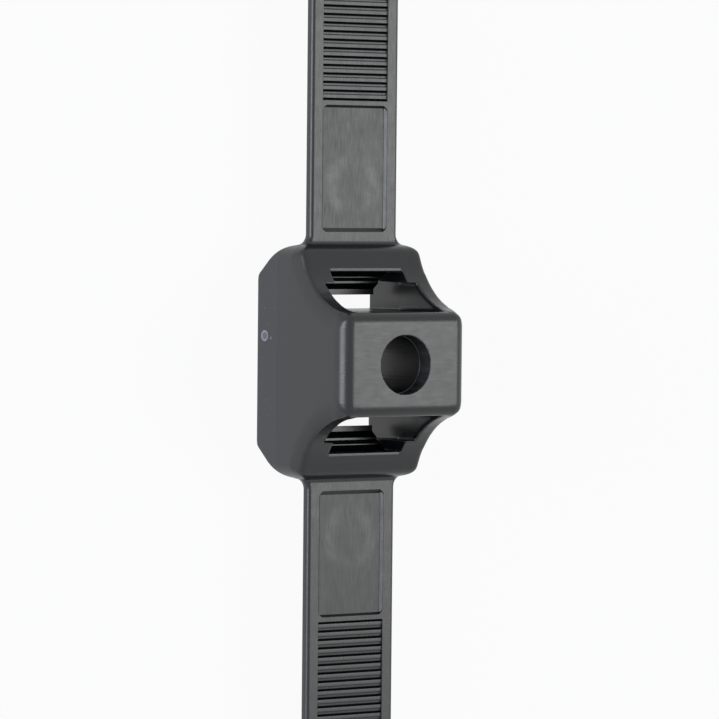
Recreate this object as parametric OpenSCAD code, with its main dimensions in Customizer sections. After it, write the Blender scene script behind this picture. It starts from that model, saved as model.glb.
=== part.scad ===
// Double loop cable tie: one moulded piece with a bolt-on head and two ladder straps.
// X runs across the head, Y along the straps and Z from the back face to the boss face.
// The bolt hole's axis is the Z axis, and the back face lies at Z = 0.

/* [Head] */
// Width of the head across the straps
head_w = 20.2; // [19:0.1:24]
// Length of the head along the straps
head_len = 31.9; // [31:0.1:36]
// Depth of the head from the back face to the boss face
head_d = 21.9; // [21:0.1:25]
// Length of the boss between its two saddles
boss_len = 14.2; // [13:0.1:15]
// Diameter of the bolt hole
bolt_d = 8; // [5:0.1:9]
// Radius of each saddle
saddle_r = 11.7; // [11.2:0.05:12]
// Distance from each end of the head in to the flat back face
back_inset = 5.2; // [4.5:0.1:5.8]
// Slope of the back's end chamfers, measured from the Z axis
back_slope = 37; // [32:1:40]

/* [Head edges] */
// Rounding of the boss face along its two sides
boss_side_r = 2.1; // [1.2:0.1:3]
// Rounding of the boss face along its two ends
boss_end_r = 1.7; // [1:0.1:2.6]
// Reach of the saddles' side roundings across the saddle
saddle_edge_w = 3; // [2.4:0.1:3.6]
// Reach of the saddles' side roundings down the head's sides
saddle_edge_h = 5; // [4:0.1:6]
// Offset of the side roundings' axis from the saddle's axis, away from the boss
saddle_edge_y = 1.3; // [0.8:0.1:1.8]
// Height of the side roundings' axis above the boss face
saddle_edge_z = 1.6; // [1:0.1:2]
// Rounding of the boss face's four corners
boss_corner_r = 2.8; // [2:0.1:3.2]
// Rounding between a saddle and the end of the head
saddle_end_r = 2; // [1:0.1:2.3]
// Rounding of the head's corners, seen from the boss
corner_r = 2.3; // [1.4:0.1:2.8]
// Rounding of the back face's ends
back_r = 1.7; // [0.8:0.1:2.5]
// Rounding between an end chamfer and the end of the head
chamfer_r = 6; // [4:0.5:8]
// Rounding of the back face's sides
back_side_r = 0.3; // [0.2:0.05:0.8]

/* [Slots and pawls] */
// Room at each side of the strap in its slot
slot_clear = 0.25; // [0.15:0.05:0.5]
// Height of the strap passage above the boss
passage_h = 3.9; // [3.4:0.1:4.2]
// Width of the pawl pocket
pocket_w = 11.8; // [10:0.1:12.4]
// Height of the pawl pocket above the passage
pocket_h = 1.45; // [1.2:0.05:1.7]
// Width of the flat along the pocket's outer edge
lip_flat = 0.5; // [0.2:0.05:0.8]
// Flare of the passage at the back face
slot_flare = 1.6; // [0.6:0.1:1.8]
// Gap between the pawl and each side of its pocket
pawl_clear = 0.4; // [0.25:0.05:0.8]
// Gap under the pawl's tip for the strap
pawl_gap = 2.05; // [1.8:0.05:2.3]
// Height of the pawl's tip above the back face
pawl_tip_z = 5.4; // [4.6:0.1:6]
// Length of the pawl's blunt tip face
pawl_tip_face = 0.8; // [0.5:0.05:0.9]
// Lean of the pawl's tooth faces, measured from the Y axis
pawl_lean = 0; // [0:1:15]
// Length of the face of the first pawl tooth behind the tip
pawl_tooth_face = 0.35; // [0.2:0.05:0.5]
// Thickness of the pawl where it joins the head
pawl_root_t = 2.8; // [2:0.1:3.2]

/* [Straps] */
// Overall length over both strap tips
overall_len = 360; // [240:1:480]
// Width of the straps
strap_w = 14.2; // [13:0.1:14.6]
// Thickness of the straps
strap_t = 1.6; // [1.3:0.05:1.8]
// Height of the straps' back above the head's back face
strap_z = 7.2; // [6:0.1:7.6]
// Rounding of the straps' long edges
strap_edge_r = 0.6; // [0.3:0.02:0.64]
// Rounding where a strap meets the head
root_r = 1.5; // [0.8:0.1:1.8]
// Length of the tapered tip
tip_len = 14; // [8:1:24]
// Width of the strap at its very end
tip_w = 6; // [4:0.1:8]
// Length of smooth strap between the last tooth and the taper
tail_len = 8; // [2:1:20]

/* [Strap face] */
// Width of the plain rail along each edge of a strap
rail_w = 1.85; // [1:0.05:2.2]
// Distance from the head to the sunk panel
panel_gap = 1.8; // [1:0.1:4]
// Length of the sunk panel
panel_len = 17.3; // [10:0.1:30]
// Depth of the sunk panel
panel_depth = 0.45; // [0.2:0.05:0.6]
// Length of the slope at the panel's end by the head
panel_slope = 0.5; // [0.2:0.05:1]
// Length of the slope at the panel's end by the teeth
panel_far_slope = 0.3; // [0.2:0.05:1]
// Width of the slopes along the panel's two sides
panel_side = 0.3; // [0.1:0.05:0.5]
// Corner radius of the sunk panel
panel_r = 1; // [0.3:0.1:2]
// Plain land between the panel and the teeth
land_len = 0.95; // [0.6:0.05:3]
// Pitch of the strap teeth
tooth_pitch = 1.156; // [1.1:0.004:1.6]
// Flat length on top of each tooth
tooth_crest = 0.5; // [0.4:0.02:0.56]
// Length of the drop from a tooth's top to its step
tooth_drop = 0.1; // [0.06:0.02:0.14]
// Depth of the step below the tooth's top
step_depth = 0.1; // [0.06:0.02:0.16]
// Length of the step on the tip side of each tooth, before the ramp
tooth_step = 0.26; // [0.2:0.02:0.3]
// Length of the ramp down to the first tooth's wall
first_ramp = 0.3; // [0.2:0.02:0.5]
// Depth of the tooth tops below the rails
crest_drop = 0.22; // [0.1:0.02:0.3]
// Depth of the tooth valleys below the rails
valley_depth = 0.65; // [0.5:0.05:0.75]

/* [Hidden] */
$fn = 96;
// Extra reach of a cutting solid past the faces that it cuts
over = 1;
// Overlap of joined solids
sink = 0.5;
// Offset that lets a rounding cross the next face at a clear angle
ease = 0.03;
head_end = head_len / 2;
boss_end = boss_len / 2;
// Drop of the slots' floors below the boss ends
floor_drop = 0.1;
slot_floor = boss_end - floor_drop;
slot_lip = slot_floor + passage_h + pocket_h;
passage_w = strap_w + 2 * slot_clear;
pawl_w = pocket_w - 2 * pawl_clear;
// Places of the teeth behind the tip along the pawl's reach, and their faces' shares of the full length
tooth_places = [0.72, 0.48];
tooth_shares = [0.5, 1];
// Thickness and undercut of the pawl's tip
tip_t = 0.9;
tip_under = 0.3;
saddle_y = boss_end + saddle_r;
// Reach over which a boss corner's rounding fades into the saddle
corner_reach = 2;
saddle_z = head_d;
strap_end = overall_len / 2;
strap_top = strap_z + strap_t;
ladder_w = strap_w - 2 * rail_w;
panel_y = head_end + panel_gap;
teeth_y = panel_y + panel_len + land_len;
teeth_room = strap_end - tip_len - tail_len - teeth_y;
teeth_n = floor(teeth_room / tooth_pitch);

// Points of an arc about c from angle a0 to a1 in steps of about step degrees
function arc(c, r, a0, a1, step = 9) =
    let (n = ceil(abs(a1 - a0) / step))
    [for (i = [0:n]) c + r * [cos(a0 + (a1 - a0) * i / n), sin(a0 + (a1 - a0) * i / n)]];

// The same points on the other side of the second axis, in the other order
function flipped(p) = [for (i = [len(p) - 1:-1:0]) [-p[i][0], p[i][1]]];

// Points of a rectangle w by h about the origin with corners of radius r
function round_rect(w, h, r) =
    let (x = w / 2 - r, y = h / 2 - r)
    concat(arc([x, y], r, 0, 90), arc([-x, y], r, 90, 180),
           arc([-x, -y], r, 180, 270), arc([x, -y], r, 270, 360));

// Sets a drawing of Y and Z upright and gives it the width w along X
module across(w) rotate([90, 0, 90]) linear_extrude(w, center = true) children();

// Sets a drawing of X and Z upright and runs it from y0 to y1
module along(y0, y1) translate([0, y1, 0]) rotate([90, 0, 0]) linear_extrude(y1 - y0) children();

// Puts a copy on both ends of the head
module both_ends() for (s = [0, 1]) mirror([0, s, 0]) children();

// Side view of the head before the saddles are cut, from the back face to the boss face
module head_profile() {
    back_c = [head_end - back_inset, back_r];
    // The chamfer leaves the back rounding and runs into the large rounding at the end
    chamfer_y = back_c[0] + back_r * cos(back_slope);
    chamfer_z = back_c[1] - back_r * sin(back_slope);
    end_c_y = head_end - chamfer_r;
    chamfer_rise = (end_c_y + chamfer_r * cos(back_slope) - chamfer_y) / tan(back_slope);
    end_c = [end_c_y, chamfer_z + chamfer_rise + chamfer_r * sin(back_slope)];
    // Height at which the saddle reaches the rounding at the end of the head
    lip_c_y = head_end - saddle_end_r;
    lip_reach = saddle_r + saddle_end_r - ease;
    lip_c = [lip_c_y, saddle_z - sqrt(pow(lip_reach, 2) - pow(saddle_y - lip_c_y, 2))];
    lip_a = atan2(saddle_z - lip_c[1], saddle_y - lip_c[0]);
    boss_c_z = head_d - boss_end_r;
    boss_reach = saddle_r + boss_end_r - ease;
    boss_c = [saddle_y - sqrt(pow(boss_reach, 2) - pow(saddle_z - boss_c_z, 2)), boss_c_z];
    boss_a = atan2(saddle_z - boss_c[1], saddle_y - boss_c[0]);
    lip_pts = arc(lip_c, saddle_end_r, 0, lip_a);
    boss_pts = arc(boss_c, boss_end_r, boss_a, 90);
    lip_y = lip_pts[len(lip_pts) - 1][0];
    half = concat(arc(back_c, back_r, -90, -back_slope), arc(end_c, chamfer_r, -back_slope, 0),
                  lip_pts, [[lip_y, boss_pts[0][1]]], boss_pts);
    polygon(concat(half, flipped(half)));
}

// End view of the head, with the long roundings of the boss face and the back face
module head_section() {
    x = head_w / 2;
    side = concat(arc([x - back_side_r, back_side_r - ease], back_side_r, -90, 0),
                  arc([x - boss_side_r, head_d - boss_side_r + ease], boss_side_r, 0, 90));
    polygon(concat(side, flipped(side)));
}

// A cutter turned about an axis along X: a cylinder whose rims round the head's sides,
// reaching edge_w across the cylinder and edge_h outwards
module flared_cut(reach, edge_w, edge_h) {
    x = head_w / 2 + over;
    flare_x = head_w / 2 - edge_w + ease;
    step = 9;
    rim = [for (a = [90:-step:0]) [reach + edge_h - edge_h * sin(a), flare_x + edge_w * cos(a)]];
    half = concat(rim, [[reach + edge_h, x]]);
    mirrored = [for (i = [len(half) - 1:-1:0]) [half[i][0], -half[i][1]]];
    rotate([0, 90, 0]) rotate_extrude() polygon(concat([[0, -x]], mirrored, half, [[0, x]]));
}

// The saddle with its rounded sides, and the rounded corners of the boss face
module saddle_cut() {
    translate([0, saddle_y, saddle_z]) rotate([0, 90, 0])
        cylinder(h = head_w + 2 * over, r = saddle_r, center = true);
    translate([0, saddle_y + saddle_edge_y, saddle_z + saddle_edge_z])
        flared_cut(saddle_r, saddle_edge_w, saddle_edge_h);
    translate([0, boss_end + corner_reach + ease, head_d])
        flared_cut(corner_reach, boss_corner_r, boss_corner_r);
}

// The strap passage, its flare at the back and the pawl pocket above it
module slot_cut() {
    half = passage_w / 2;
    passage_y = slot_floor + passage_h / 2;
    translate([0, passage_y, head_d / 2]) cube([passage_w, passage_h, head_d + 2 * over], center = true);
    along(slot_floor, slot_floor + passage_h) polygon([
        [-half - slot_flare - over, -over], [half + slot_flare + over, -over],
        [half, slot_flare], [-half, slot_flare]]);
    translate([-pocket_w / 2, passage_y, -over]) cube([pocket_w, slot_lip - passage_y, head_d + 2 * over]);
    flat_y = slot_lip + lip_flat;
    flat_z = saddle_z - sqrt(pow(saddle_r, 2) - pow(saddle_y - flat_y, 2));
    translate([-pocket_w / 2, passage_y, flat_z]) cube([pocket_w, flat_y - passage_y, head_d - flat_z]);
}

// The toothed pawl: a tongue from the pocket's outer wall that leans back and in
module pawl() {
    tip_y = slot_floor + pawl_gap;
    reach = slot_lip - tip_y;
    lean = tan(pawl_lean);
    root_z = pawl_tip_z + (len(tooth_places) + 1) * tooth_pitch;
    // Each tooth's face looks to the boss side, and a steep ramp runs on to the next one
    faces = [for (i = [0:len(tooth_places) - 1]) let (
        y = tip_y + tooth_places[i] * reach,
        w = tooth_shares[i] * pawl_tooth_face,
        z = pawl_tip_z + (len(tooth_places) - i) * tooth_pitch) each [[y + w, z + w * lean], [y, z]]];
    across(pawl_w) polygon(concat(
        [[slot_lip + sink, root_z], [slot_lip, root_z]], faces,
        [[tip_y + pawl_tip_face, pawl_tip_z + pawl_tip_face * lean], [tip_y, pawl_tip_z],
         [tip_y + tip_under, pawl_tip_z - tip_t],
         [slot_lip, root_z - pawl_root_t], [slot_lip + sink, root_z - pawl_root_t]]));
}

module head() {
    difference() {
        intersection() {
            across(head_w + 2 * over) head_profile();
            along(-head_end - over, head_end + over) head_section();
            linear_extrude(head_d + over)
                polygon(round_rect(head_w + 2 * ease, head_len + 2 * ease, corner_r));
        }
        both_ends() saddle_cut();
        both_ends() slot_cut();
        translate([0, 0, -over]) cylinder(h = head_d + 2 * over, d = bolt_d);
    }
    both_ends() pawl();
}

// Outline of the teeth's cut, seen from the side: walls face the head, and steps and ramps face the tip
module teeth_outline() {
    valley_z = strap_top - valley_depth;
    crest_z = strap_top - crest_drop;
    step_z = crest_z - step_depth;
    step_y = tooth_crest + tooth_drop;
    teeth = [for (i = [0:teeth_n - 1]) let (y = teeth_y + i * tooth_pitch) each [
        [y, valley_z], [y, crest_z], [y + tooth_crest, crest_z],
        [y + step_y, step_z], [y + step_y + tooth_step, step_z]]];
    start_y = teeth_y - first_ramp;
    end_y = teeth_y + teeth_n * tooth_pitch;
    polygon(concat([[start_y, strap_top + over], [start_y, strap_top]], teeth,
                   [[end_y, valley_z], [end_y, strap_top + over]]));
}

// Rounding in the corner between the strap's side and the head, with the strap's own edge
module root_fillet() {
    w = root_r + sink;
    translate([strap_w / 2 + root_r, head_end + root_r, strap_z + strap_t / 2])
        rotate([0, 0, 180]) rotate_extrude(angle = 90)
            translate([root_r + w / 2, 0]) polygon(round_rect(w, strap_t, strap_edge_r));
}

// The sunk panel: a flat floor with sloped ends and sides, and rounded corners
module panel_cut() {
    floor_z = strap_top - panel_depth;
    room_z = strap_top + over;
    half = ladder_w / 2;
    panel_end = panel_y + panel_len;
    // How far the slopes run on above the strap's face
    end_run = panel_slope * over / panel_depth;
    far_run = panel_far_slope * over / panel_depth;
    side_run = panel_side * over / panel_depth;
    intersection() {
        across(strap_w) polygon([
            [panel_y + panel_slope, floor_z], [panel_end - panel_far_slope, floor_z],
            [panel_end + far_run, room_z], [panel_y - end_run, room_z]]);
        along(panel_y - over, panel_end + over) polygon([
            [panel_side - half, floor_z], [half - panel_side, floor_z],
            [half + side_run, room_z], [-half - side_run, room_z]]);
        translate([0, panel_y + panel_len / 2, floor_z - over]) linear_extrude(panel_depth + 2 * over)
            polygon(round_rect(ladder_w + 2 * ease, panel_len + 2 * ease, panel_r));
    }
}

module strap() {
    half = strap_w / 2;
    difference() {
        intersection() {
            translate([0, 0, strap_z + strap_t / 2])
                along(head_end - sink, strap_end) polygon(round_rect(strap_w, strap_t, strap_edge_r));
            translate([0, 0, strap_z - over]) linear_extrude(strap_t + 2 * over)
                polygon([[-half - over, 0], [half + over, 0], [half + over, strap_end - tip_len],
                         [half, strap_end - tip_len], [tip_w / 2, strap_end + over],
                         [-tip_w / 2, strap_end + over], [-half, strap_end - tip_len],
                         [-half - over, strap_end - tip_len]]);
        }
        panel_cut();
        across(ladder_w) teeth_outline();
    }
    for (s = [0, 1]) mirror([s, 0, 0]) root_fillet();
}

module double_loop_tie() {
    color([0.1, 0.1, 0.11]) union() {
        head();
        both_ends() strap();
    }
}

double_loop_tie();
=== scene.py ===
import bpy, math
from mathutils import Matrix, Vector


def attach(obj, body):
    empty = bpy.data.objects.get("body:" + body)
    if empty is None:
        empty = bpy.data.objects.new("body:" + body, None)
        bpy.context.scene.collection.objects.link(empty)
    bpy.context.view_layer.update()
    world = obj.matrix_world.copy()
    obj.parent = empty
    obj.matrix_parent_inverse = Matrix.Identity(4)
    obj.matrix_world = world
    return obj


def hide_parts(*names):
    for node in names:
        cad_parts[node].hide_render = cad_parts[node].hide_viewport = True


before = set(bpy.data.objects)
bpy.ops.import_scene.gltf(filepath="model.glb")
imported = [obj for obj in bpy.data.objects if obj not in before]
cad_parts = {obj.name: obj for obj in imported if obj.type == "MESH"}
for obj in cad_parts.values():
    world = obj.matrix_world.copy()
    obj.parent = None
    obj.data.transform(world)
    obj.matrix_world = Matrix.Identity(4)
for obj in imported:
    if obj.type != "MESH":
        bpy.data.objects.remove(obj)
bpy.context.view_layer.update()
mm = 0.001
tieNode = "double_loop_tie"

# Mesh work that the pieces share
meshing = {
    "cutWithin": 1e-7, "joinWithin": 2e-6,  # m
    "flatWithin": 1, "smoothBelow": 40,  # degrees
    "bevelSteps": 2, "bevelProfile": 0.5,
    "normalWeight": 100,
    "smoothing": 0.5,  # share of the way in each round
}


def onlyThis(obj):  # operators act on all that is selected
    bpy.ops.object.select_all(action="DESELECT")
    bpy.context.view_layer.objects.active = obj
    obj.select_set(True)


def startEditing(obj):  # with the whole mesh selected
    onlyThis(obj)
    bpy.ops.object.mode_set(mode="EDIT")
    bpy.ops.mesh.select_all(action="SELECT")


def stopEditing():
    bpy.ops.object.mode_set(mode="OBJECT")


def nameActive(name):  # an operator leaves its new object active
    obj = bpy.context.view_layer.objects.active
    obj.name = obj.data.name = name
    return obj


def applyModifier(obj, kind, **settings):
    onlyThis(obj)
    modifier = obj.modifiers.new(kind.lower(), kind)
    for name, value in settings.items():
        setattr(modifier, name, value)
    bpy.ops.object.modifier_apply(modifier=modifier.name)


def cutAway(obj, point, normal):  # removes what lies on the normal's side, and closes the cut
    startEditing(obj)
    bpy.ops.mesh.bisect(plane_co=point, plane_no=normal, use_fill=True, clear_outer=True,
                        threshold=meshing["cutWithin"])
    stopEditing()


def copyOfTie(name):
    onlyThis(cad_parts[tieNode])
    bpy.ops.object.duplicate()
    copy = nameActive(name)
    copy.parent = None
    for key in [k for k in copy.keys() if k.startswith("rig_")]:
        del copy[key]
    startEditing(copy)
    bpy.ops.mesh.remove_doubles(threshold=meshing["joinWithin"])
    stopEditing()
    return copy


def softenEdges(obj, width, sharp):  # breaks every edge sharper than the angle
    startEditing(obj)
    bpy.ops.mesh.dissolve_limited(angle_limit=math.radians(meshing["flatWithin"]))
    bpy.ops.mesh.select_all(action="DESELECT")
    bpy.ops.mesh.select_mode(type="EDGE")
    bpy.ops.mesh.edges_select_sharp(sharpness=math.radians(sharp))
    bpy.ops.mesh.bevel(offset=width * mm, segments=meshing["bevelSteps"],
                       profile=meshing["bevelProfile"], clamp_overlap=False)
    stopEditing()
    onlyThis(obj)
    bpy.ops.object.shade_smooth_by_angle(angle=math.radians(meshing["smoothBelow"]))
    applyModifier(obj, "WEIGHTED_NORMAL", mode="FACE_AREA", weight=meshing["normalWeight"],
                  keep_sharp=True)


def closeHoles(obj):
    startEditing(obj)
    bpy.ops.mesh.fill_holes(sides=0)
    stopEditing()


# Head: the moulding's edges are all a little soft
head = {
    "end": 17.4,  # mm, the head keeps a stub of each strap, which ends inside it
    "voxel": 0.1,  # mm
    "softening": 5,  # rounds of smoothing all over
    "faces": 0.19,  # share kept
    "rounder": [  # mm, boxes on both sides and ends where the mould is rounder still
        {"x": (0, 8), "y": (15.5, 16.5), "z": (8.5, 30), "times": 40},  # where the straps start
        {"x": (7.2, 11), "y": (12, 16.3), "z": (8.9, 30), "times": 60},  # corners of the ends
        {"x": (7.2, 11), "y": (0, 16.3), "z": (9.2, 30), "times": 35},  # rims of saddles and boss
        {"x": (8.4, 11), "y": (5.2, 8.4), "z": (18, 30), "times": 40},  # corners of the boss
    ],
    "stub": 16.6, "stubShare": 0.985,  # mm along, share of the strap's thickness
}

# Pawls: crisp teeth, so they are kept apart from the soft head
pawl = {
    "inX": 5.55, "fromY": 8.9, "toY": 12.36, "fromZ": 1, "toZ": 10,  # mm, the room for a pawl
    "root": 0.15, "rootWithin": 0.02,  # mm, reach into the head, and where the root's points lie
    "edge": 0.045,  # mm
    "sharp": 20,  # degrees
    "roughness": 0.29,  # a polished slide forms the pawls
}


def inPawlRoom(point):
    x, y, z = (abs(v) / mm for v in point)
    inY, inZ = pawl["fromY"] < y < pawl["toY"], pawl["fromZ"] < z < pawl["toZ"]
    return x < pawl["inX"] and inY and inZ


def roundPlaces(obj):
    for place in head["rounder"]:
        box = [place[axis] for axis in "xyz"]
        onlyThis(obj)
        bpy.ops.object.mode_set(mode="EDIT")
        bpy.ops.mesh.select_mode(type="VERT")
        bpy.ops.mesh.select_all(action="DESELECT")
        stopEditing()
        for vertex in obj.data.vertices:
            spans = zip(vertex.co, box)
            vertex.select = all(low * mm <= abs(v) < high * mm for v, (low, high) in spans)
        bpy.ops.object.mode_set(mode="EDIT")
        bpy.ops.mesh.vertices_smooth(factor=meshing["smoothing"], repeat=place["times"])
        stopEditing()


def tuckStubs(obj):  # the stubs lie just inside the straps
    middle = strap["middle"] * mm
    for vertex in obj.data.vertices:
        if abs(vertex.co.y) > head["stub"] * mm:
            vertex.co.z = middle + (vertex.co.z - middle) * head["stubShare"]


def buildHeadAndPawls():
    obj = copyOfTie("head")
    cutAway(obj, (0, head["end"] * mm, 0), (0, 1, 0))
    cutAway(obj, (0, -head["end"] * mm, 0), (0, -1, 0))
    for face in obj.data.polygons:
        face.select = all(inPawlRoom(obj.data.vertices[i].co) for i in face.vertices)
    onlyThis(obj)
    bpy.ops.object.mode_set(mode="EDIT")
    bpy.ops.mesh.select_mode(type="FACE")
    bpy.ops.mesh.separate(type="SELECTED")
    stopEditing()
    pawls = [o for o in bpy.context.selected_objects if o != obj][0]
    pawls.name = pawls.data.name = "pawls"
    closeHoles(obj)
    closeHoles(pawls)
    for vertex in pawls.data.vertices:
        if abs(vertex.co.y) > (pawl["toY"] - pawl["rootWithin"]) * mm:
            vertex.co.y += math.copysign(pawl["root"] * mm, vertex.co.y)
    softenEdges(pawls, pawl["edge"], pawl["sharp"])
    applyModifier(obj, "REMESH", mode="VOXEL", voxel_size=head["voxel"] * mm)
    print("head remeshed", len(obj.data.polygons))
    applyModifier(obj, "SMOOTH", factor=meshing["smoothing"], iterations=head["softening"])
    roundPlaces(obj)
    tuckStubs(obj)
    applyModifier(obj, "DECIMATE", ratio=head["faces"])
    onlyThis(obj)
    bpy.ops.object.shade_smooth()
    print("head done", len(obj.data.polygons), "pawls", len(pawls.data.polygons))
    return obj, pawls


# Straps: rails, sunk panel and teeth, each edge broken
strap = {
    "start": 16.5, "middle": 8,  # mm along and up
    "edge": 0.05,  # mm
    "sharp": 28,  # degrees
}


def buildStrap(name, side):
    obj = copyOfTie(name)
    cutAway(obj, (0, side * strap["start"] * mm, 0), (0, -side, 0))
    softenEdges(obj, strap["edge"], strap["sharp"])
    print(name, "done", len(obj.data.polygons))
    return obj


# Gate mark: the torn stub of the sprue on one side
gate = {
    "at": (-10.05, 3.4, 2.1),  # mm
    "across": 1.55, "stretch": 1.2,  # mm, share along the head's depth
    "height": 0.24, "edge": 0.05,  # mm
    "rim": 0.3, "sink": 0.05,  # mm
    "sharp": 30, "turn": -90,  # degrees
    "points": 40,
}


def buildGate():
    bpy.ops.object.select_all(action="DESELECT")
    bpy.ops.mesh.primitive_cylinder_add(
        vertices=gate["points"], radius=gate["across"] / 2 * mm, depth=gate["height"] * mm,
        location=[v * mm for v in gate["at"]], rotation=(0, math.radians(gate["turn"]), 0))
    obj = nameActive("gateMark")
    bpy.ops.object.transform_apply(location=True, rotation=True, scale=True)
    outside = min(obj.data.polygons, key=lambda face: face.center.x).index
    bpy.ops.object.mode_set(mode="EDIT")
    bpy.ops.mesh.select_mode(type="FACE")
    bpy.ops.mesh.select_all(action="SELECT")
    bpy.ops.transform.resize(value=(1, 1, gate["stretch"]))
    bpy.ops.mesh.select_all(action="DESELECT")
    stopEditing()
    obj.data.polygons[outside].select = True
    bpy.ops.object.mode_set(mode="EDIT")
    bpy.ops.mesh.inset(thickness=gate["rim"] * mm)
    bpy.ops.transform.translate(value=(gate["sink"] * mm, 0, 0))
    stopEditing()
    for face in obj.data.polygons:
        face.material_index = int(face.select)  # the sunk middle is darker
    softenEdges(obj, gate["edge"], gate["sharp"])
    print("gate mark done", len(obj.data.polygons))
    return obj


# Core line: the fine ring in the bolt hole where the two core pins met
coreLine = {
    "height": 19.35, "radius": 4, "thick": 0.1,  # mm
    "pointsRound": 96, "pointsAcross": 10,
}


def buildCoreLine():
    bpy.ops.object.select_all(action="DESELECT")
    bpy.ops.mesh.primitive_torus_add(
        major_radius=coreLine["radius"] * mm, minor_radius=coreLine["thick"] * mm,
        major_segments=coreLine["pointsRound"], minor_segments=coreLine["pointsAcross"],
        location=(0, 0, coreLine["height"] * mm))
    obj = nameActive("coreLine")
    bpy.ops.object.transform_apply(location=True, rotation=True, scale=True)
    bpy.ops.object.shade_smooth()
    print("core line done", len(obj.data.polygons))
    return obj


def linearColor(hexColor):
    parts = [int(hexColor[i:i + 2], 16) / 255 for i in (1, 3, 5)]
    return [c / 12.92 if c <= 0.04045 else ((c + 0.055) / 1.055) ** 2.4 for c in parts] + [1]


def addNode(tree, kind, settings=None, **links):
    node = tree.nodes.new(kind)
    for name, value in (settings or {}).items():
        if name in node.inputs:
            node.inputs[name].default_value = value
        else:
            setattr(node, name, value)
    for name, source in links.items():
        tree.links.new(source, node.inputs[name.replace("_", " ")])
    return node


def newMaterial(name):
    material = bpy.data.materials.new(name)
    material.use_nodes = True
    material.node_tree.nodes.clear()
    return material, material.node_tree


# Heat-stable black nylon 6/6, injection moulded in a spark-eroded mould: satin, a little uneven
nylon = {
    "black": "#0a0f13",
    # a lighter bluish tone for the sides below the parting line
    "lowSideTone": "#474c66",
    # the scuff marks' colour, also painted in the bore as light
    "scuffAndBoreLightColor": "#75787c",
    "torn": "#808387", "tornMiddle": "#55585d",
    "roughness": 0.31, "tornRoughness": 0.6,
    "refraction": 1.53,
    "grain": 0.2, "grainDepth": 0.003, "tearDepth": 0.03,  # mm
    "mottle": 1.6, "mottleRoughness": 0.13,  # mm, change in roughness
}

# Marks of the mould on the straps: flow streaks, and the ring of an ejector pin in each panel
strapMarks = {
    "streak": (0.17, 2.2, 3), "streakRoughness": 0.24,  # mm across, along and through
    "panelFloor": 8.38, "panelRoughness": 0.05,  # mm, highest point of the panels' floors
    "ringAt": 24.3, "ringRadius": 3.4, "ringWidth": 3.2, "ringRoughness": -0.095,  # mm
    "ringBlotch": 1.3, "blotchGain": 1.6, "blotchMiddle": 0.8,  # mm, shares of the ring
    "ringFaint": (0.5, 2.6), "ringShare": (0.15, 1),  # mm off the middle, strength there
}

# Marks on the head: brushed boss face, the mould's parting line, painted light in the bore and
# scuff marks
headMarks = {
    "brush": (2, 0.24, 3), "brushRoughness": 0.16,  # mm along, across and through
    "brushAbove": 20.5,  # mm
    "parting": 5.1, "partingWidth": 0.3, "partingDepth": 0.006,  # mm
    "lowShare": 0.062,  # of the lighter bluish tone on the sides below the parting line
    "bore": 4.2, "boreShare": 0.21,  # mm, share of the scuff colour painted as light in the bore above the core line
    "borePatch": (1, 1, 3), "patchGain": 3, "patchMiddle": 0.6,  # mm, shares of the painted light in the bore
    "scuff": 0.7, "scuffSpan": (0.2, 0.26),  # mm, noise at which scuff marks start and are full
    "scuffBelow": 5.1, "side": 9.9,  # mm
}

# How fine each noise is
noiseDetail = {"grain": 2, "mottle": 4, "mark": 3, "scuff": 5}


def feed(tree, socket, value):  # links another socket, or sets a number or colour
    if isinstance(value, bpy.types.NodeSocket):
        tree.links.new(value, socket)
    elif value is not None:
        socket.default_value = value


def mathNode(tree, operation, first, second=None, third=None):
    node = addNode(tree, "ShaderNodeMath", {"operation": operation})
    for socket, value in zip(node.inputs, (first, second, third)):
        feed(tree, socket, value)
    return node.outputs[0]


def mixColors(tree, share, first, second):
    node = addNode(tree, "ShaderNodeMix", {"data_type": "RGBA"})
    for index, value in zip((0, 6, 7), (share, first, second)):  # the sockets of a colour mix
        feed(tree, node.inputs[index], value)
    return node.outputs[2]


def mixShaders(tree, share, first, second):
    node = addNode(tree, "ShaderNodeMixShader")
    for socket, value in zip(node.inputs, (share, first, second)):
        feed(tree, socket, value)
    return node.outputs[0]


def mapRange(tree, value, start, end, kind="SMOOTHSTEP"):
    ends = {"From Min": start[0], "From Max": start[1], "To Min": end[0], "To Max": end[1]}
    node = addNode(tree, "ShaderNodeMapRange", {"interpolation_type": kind, **ends}, Value=value)
    return node.outputs["Result"]


def distance(tree, first, second):
    squares = [mathNode(tree, "MULTIPLY", side, side) for side in (first, second)]
    return mathNode(tree, "SQRT", mathNode(tree, "ADD", *squares))


def band(tree, value, middle, width):  # 1 at the middle, falling softly to 0 at both edges
    away = mathNode(tree, "ABSOLUTE", mathNode(tree, "SUBTRACT", value, middle * mm))
    return mapRange(tree, away, (width / 2 * mm, 0), (0, 1))


def stretchedNoise(tree, place, sizes, detail):  # lies around 0
    scales = [1 / (size * mm) for size in sizes]
    scaled = addNode(tree, "ShaderNodeMapping", {"Scale": scales}, Vector=place).outputs[0]
    settings = {"Scale": 1, "Detail": noiseDetail[detail]}
    noise = addNode(tree, "ShaderNodeTexNoise", settings, Vector=scaled)
    return mathNode(tree, "SUBTRACT", noise.outputs["Fac"], 0.5)


def placeAndAxes(tree):
    place = addNode(tree, "ShaderNodeTexCoord").outputs["Object"]
    return place, addNode(tree, "ShaderNodeSeparateXYZ", Vector=place).outputs


def nylonShader(tree, height, settings, **links):
    bump = addNode(tree, "ShaderNodeBump", {"Strength": 1, "Distance": 1}, Height=height)
    settings = {"IOR": nylon["refraction"], **settings}
    links["Normal"] = bump.outputs["Normal"]
    shader = addNode(tree, "ShaderNodeBsdfPrincipled", settings, **links)
    addNode(tree, "ShaderNodeOutputMaterial", Surface=shader.outputs["BSDF"])


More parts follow.
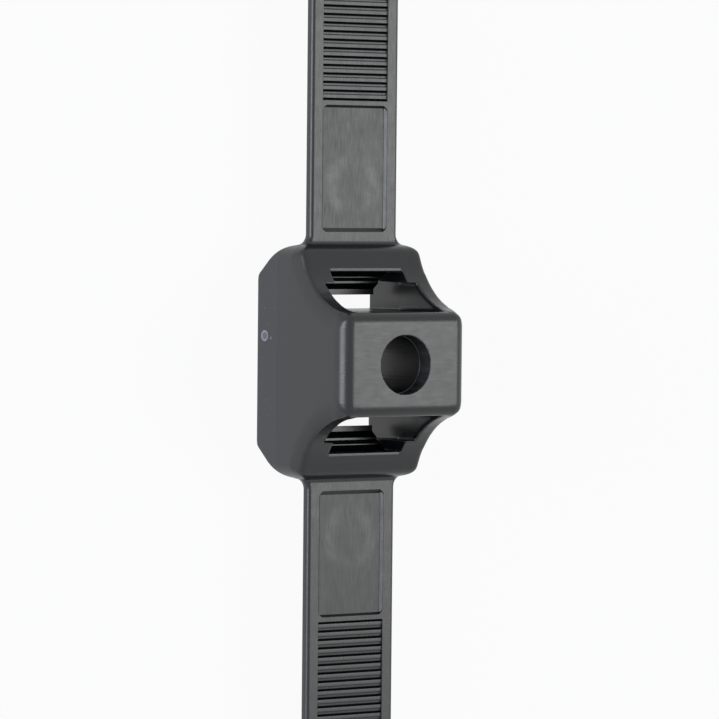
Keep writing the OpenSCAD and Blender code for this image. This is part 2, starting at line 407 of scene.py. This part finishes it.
def finishNylon(tree, place, roughness, height, color=None):
    grain = stretchedNoise(tree, place, [nylon["grain"]] * 3, "grain")
    mottle = stretchedNoise(tree, place, [nylon["mottle"]] * 3, "mottle")
    roughness = mathNode(tree, "MULTIPLY_ADD", mottle, nylon["mottleRoughness"], roughness)
    height = mathNode(tree, "MULTIPLY_ADD", grain, nylon["grainDepth"] * mm, height)
    links = {"Roughness": roughness}
    if color:
        links["Base_Color"] = color
    nylonShader(tree, height, {"Base Color": linearColor(nylon["black"])}, **links)


def mouldedStrapNylon():
    marks = strapMarks
    material, tree = newMaterial("mouldedBlackNylonStrap")
    place, axes = placeAndAxes(tree)
    out = mathNode(tree, "ABSOLUTE", axes["Y"])
    fromPin = mathNode(tree, "SUBTRACT", out, marks["ringAt"] * mm)
    reach = distance(tree, axes["X"], fromPin)
    lowEnough = mathNode(tree, "LESS_THAN", axes["Z"], marks["panelFloor"] * mm)
    highEnough = mathNode(tree, "GREATER_THAN", axes["Z"], strap["middle"] * mm)
    inPanel = mathNode(tree, "MULTIPLY", lowEnough, highEnough)
    ring = band(tree, reach, marks["ringRadius"], marks["ringWidth"])
    ring = mathNode(tree, "MULTIPLY", ring, inPanel)
    blotch = stretchedNoise(tree, place, [marks["ringBlotch"]] * 3, "mark")
    blotch = mathNode(tree, "MULTIPLY_ADD", blotch, marks["blotchGain"], marks["blotchMiddle"])
    ring = mathNode(tree, "MULTIPLY", ring, blotch)
    faintSpan = [v * mm for v in marks["ringFaint"]]
    offMiddle = mathNode(tree, "ABSOLUTE", axes["X"])
    aside = mapRange(tree, offMiddle, faintSpan, marks["ringShare"])
    ring = mathNode(tree, "MULTIPLY", ring, aside)
    streak = stretchedNoise(tree, place, marks["streak"], "mark")
    roughness = nylon["roughness"]
    for mark, change in ((streak, "streakRoughness"), (inPanel, "panelRoughness"),
                         (ring, "ringRoughness")):
        roughness = mathNode(tree, "MULTIPLY_ADD", mark, marks[change], roughness)
    finishNylon(tree, place, roughness, 0)
    return material


def mouldedHeadNylon(name, baseRoughness):
    marks = headMarks
    material, tree = newMaterial(name)
    place, axes = placeAndAxes(tree)
    offMiddle = mathNode(tree, "ABSOLUTE", axes["X"])
    onSide = mathNode(tree, "GREATER_THAN", offMiddle, marks["side"] * mm)
    onBoss = mathNode(tree, "GREATER_THAN", axes["Z"], marks["brushAbove"] * mm)
    brush = stretchedNoise(tree, place, marks["brush"], "mark")
    brush = mathNode(tree, "MULTIPLY", brush, onBoss)
    roughness = mathNode(tree, "MULTIPLY_ADD", brush, marks["brushRoughness"], baseRoughness)
    line = band(tree, axes["Z"], marks["parting"], marks["partingWidth"])
    line = mathNode(tree, "MULTIPLY", line, onSide)
    height = mathNode(tree, "MULTIPLY", line, marks["partingDepth"] * mm)
    scuffsAndBoreLight = stretchedNoise(tree, place, [marks["scuff"]] * 3, "scuff")
    scuffsAndBoreLight = mapRange(tree, scuffsAndBoreLight, marks["scuffSpan"], (0, 1), "LINEAR")
    low = mathNode(tree, "LESS_THAN", axes["Z"], marks["scuffBelow"] * mm)
    low = mathNode(tree, "MULTIPLY", low, onSide)
    # Painted light: the scuff colour lightens the bore's wall above the core line, in patches
    reach = distance(tree, axes["X"], axes["Y"])
    inBore = mathNode(tree, "LESS_THAN", reach, marks["bore"] * mm)
    aboveLine = mathNode(tree, "GREATER_THAN", axes["Z"], coreLine["height"] * mm)
    inBore = mathNode(tree, "MULTIPLY", inBore, aboveLine)
    patches = stretchedNoise(tree, place, marks["borePatch"], "mark")
    patches = mathNode(tree, "MULTIPLY_ADD", patches, marks["patchGain"], marks["patchMiddle"])
    inBore = mathNode(tree, "MULTIPLY", inBore, mathNode(tree, "MAXIMUM", patches, 0))
    # the sides below the parting line take a lighter bluish tone
    lowSideTone = mathNode(tree, "MULTIPLY", low, marks["lowShare"])
    color = mixColors(tree, lowSideTone, linearColor(nylon["black"]), linearColor(nylon["lowSideTone"]))
    # scuff marks on the low sides, plus the painted light in the bore
    scuffsAndBoreLight = mathNode(tree, "MULTIPLY", scuffsAndBoreLight, low)
    scuffsAndBoreLight = mathNode(tree, "MULTIPLY_ADD", inBore, marks["boreShare"], scuffsAndBoreLight)
    color = mixColors(tree, scuffsAndBoreLight, color, linearColor(nylon["scuffAndBoreLightColor"]))
    finishNylon(tree, place, roughness, height, color)
    return material


def tornNylon(name, color):  # the same nylon where the sprue was torn off, pale and rough
    material, tree = newMaterial(name)
    place = addNode(tree, "ShaderNodeTexCoord").outputs["Object"]
    tears = stretchedNoise(tree, place, [nylon["grain"]] * 3, "mark")
    height = mathNode(tree, "MULTIPLY", tears, nylon["tearDepth"] * mm)
    settings = {"Base Color": linearColor(color), "Roughness": nylon["tornRoughness"]}
    nylonShader(tree, height, settings)
    return material


headPiece, pawlPiece = buildHeadAndPawls()
strapPieces = [buildStrap("strapAbove", 1), buildStrap("strapBelow", -1)]
gatePiece = buildGate()
linePiece = buildCoreLine()
headNylon = mouldedHeadNylon("mouldedBlackNylonHead", nylon["roughness"])
pawlNylon = mouldedHeadNylon("polishedBlackNylonPawl", pawl["roughness"])
strapNylon = mouldedStrapNylon()
gateNylons = [
    tornNylon("tornBlackNylon", nylon["torn"]),
    tornNylon("tornBlackNylonMiddle", nylon["tornMiddle"]),
]
finishes = {
    headPiece: [headNylon],
    pawlPiece: [pawlNylon],
    linePiece: [pawlNylon],
    gatePiece: gateNylons,
}
finishes.update({piece: [strapNylon] for piece in strapPieces})
for piece, materials in finishes.items():
    if len(piece.data.materials):  # clearing also resets which face has which material
        piece.data.materials.clear()
    for material in materials:
        piece.data.materials.append(material)
    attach(piece, "root")
    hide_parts(tieNode)
print("pieces dressed", len(finishes))


# Studio: a white floor and room, a softbox above at the right and a tall one at the left
studio = {
    "white": "#ffffff",
    "floor": "#747474",  # what the floor gives back to matt surfaces
    "floorSize": 6,  # m
    "gap": 0.05,  # mm, from the floor to the tie's back
    "shadow": 0.06,  # share of the floor's own shading that shows
    "room": (0.01, 0.125),  # light on matt surfaces from below and from above
    "roomRise": (-0.7, 0.5),  # how steeply down and up these are reached
    "roomTint": "#d9e7ff",
    "middle": 15,  # mm, height at which the softboxes aim
    "right": {"aim": (0.545, 0.05, 0.837), "away": 900, "size": (360, 560),  # mm
              "strength": 4.1, "tint": "#ffffff"},
    "left": {"aim": (-0.98, 0.11, 0.04), "away": 900, "size": (500, 1150),  # mm
             "strength": 5.8, "tint": "#f1f7ff"},
}


def seenRays(tree):  # rays that show the white background
    rays = addNode(tree, "ShaderNodeLightPath").outputs
    seen = mathNode(tree, "MAXIMUM", rays["Is Camera Ray"], rays["Is Glossy Ray"])
    return mathNode(tree, "MAXIMUM", seen, rays["Is Transmission Ray"])


def buildFloor():
    bpy.ops.object.select_all(action="DESELECT")
    bpy.ops.mesh.primitive_plane_add(size=studio["floorSize"],
                                     location=(0, 0, -studio["gap"] * mm))
    obj = nameActive("floor")
    material, tree = newMaterial("paleFloor")
    white, pale = linearColor(studio["white"]), linearColor(studio["floor"])
    glow = addNode(tree, "ShaderNodeEmission", {"Color": white, "Strength": 1.0}).outputs[0]
    lit = addNode(tree, "ShaderNodeBsdfDiffuse", {"Color": white}).outputs[0]
    given = addNode(tree, "ShaderNodeBsdfDiffuse", {"Color": pale}).outputs[0]
    shown = mixShaders(tree, studio["shadow"], glow, lit)
    surface = mixShaders(tree, seenRays(tree), given, shown)
    lampLight = addNode(tree, "ShaderNodeLightPath").outputs["Is Shadow Ray"]
    fromBelow = addNode(tree, "ShaderNodeNewGeometry").outputs["Backfacing"]
    passing = mathNode(tree, "MAXIMUM", lampLight, fromBelow)  # one softbox reaches below
    clear = addNode(tree, "ShaderNodeBsdfTransparent").outputs[0]
    surface = mixShaders(tree, passing, surface, clear)
    addNode(tree, "ShaderNodeOutputMaterial", Surface=surface)
    obj.data.materials.append(material)


def buildRoom():
    world = bpy.data.worlds.new("room")
    bpy.context.scene.world = world
    world.use_nodes = True
    tree = world.node_tree
    tree.nodes.clear()
    way = addNode(tree, "ShaderNodeTexCoord").outputs["Generated"]
    up = addNode(tree, "ShaderNodeSeparateXYZ", Vector=way).outputs["Z"]
    level = mapRange(tree, up, studio["roomRise"], studio["room"])
    white, tint = linearColor(studio["white"]), linearColor(studio["roomTint"])
    dim = addNode(tree, "ShaderNodeBackground", {"Color": tint}, Strength=level).outputs[0]
    glow = addNode(tree, "ShaderNodeBackground", {"Color": white, "Strength": 1.0}).outputs[0]
    shown = mixShaders(tree, seenRays(tree), dim, glow)
    addNode(tree, "ShaderNodeOutputWorld", Surface=shown)


def buildSoftbox(name):
    values = studio[name]
    aim = Vector(values["aim"]).normalized()
    lamp = bpy.data.lights.new(name + "Softbox", "AREA")
    lamp.shape = "RECTANGLE"
    lamp.size, lamp.size_y = (side * mm for side in values["size"])
    lamp.energy = values["strength"] * math.pi * lamp.size * lamp.size_y  # strength is the radiance
    lamp.color = linearColor(values["tint"])[:3]
    obj = bpy.data.objects.new(lamp.name, lamp)
    bpy.context.scene.collection.objects.link(obj)
    obj.location = Vector((0, 0, studio["middle"] * mm)) + aim * values["away"] * mm
    obj.rotation_euler = aim.to_track_quat("Z", "Y").to_euler()
    obj.visible_camera = False


# Camera: the photograph's place, turn and lens
view = {
    "place": (-314.229, 22.299, 492.852),  # mm
    "target": (0, 0, 10.316),  # mm
    "roll": 0.5466,  # degrees
    "focal": 4208.83,  # pixels
    "middle": (359.017, 361.708),  # pixels
    "frame": 719,  # pixels
    "sensor": 36,  # mm
    "clip": (0.01, 20),  # m
}


def buildCamera():
    place = Vector(view["place"]) * mm
    back = (place - Vector(view["target"]) * mm).normalized()
    right = Vector((0, 1, 0)).cross(back).normalized()
    up = back.cross(right)
    roll = Matrix.Rotation(math.radians(view["roll"]), 3, "Z")
    turn = Matrix((right, up, back)).transposed() @ roll
    data = bpy.data.cameras.new("photoCamera")
    data.sensor_width = view["sensor"]
    data.lens = view["focal"] * view["sensor"] / view["frame"]
    data.shift_x = (view["frame"] / 2 - view["middle"][0]) / view["frame"]
    data.shift_y = (view["middle"][1] - view["frame"] / 2) / view["frame"]
    data.clip_start, data.clip_end = view["clip"]
    obj = bpy.data.objects.new("photoCamera", data)
    bpy.context.scene.collection.objects.link(obj)
    obj.matrix_world = Matrix.Translation(place) @ turn.to_4x4()
    bpy.context.scene.camera = obj


buildFloor()
buildRoom()
buildSoftbox("right")
buildSoftbox("left")
buildCamera()
bpy.context.scene.view_settings.view_transform = "Standard"
print("studio done")
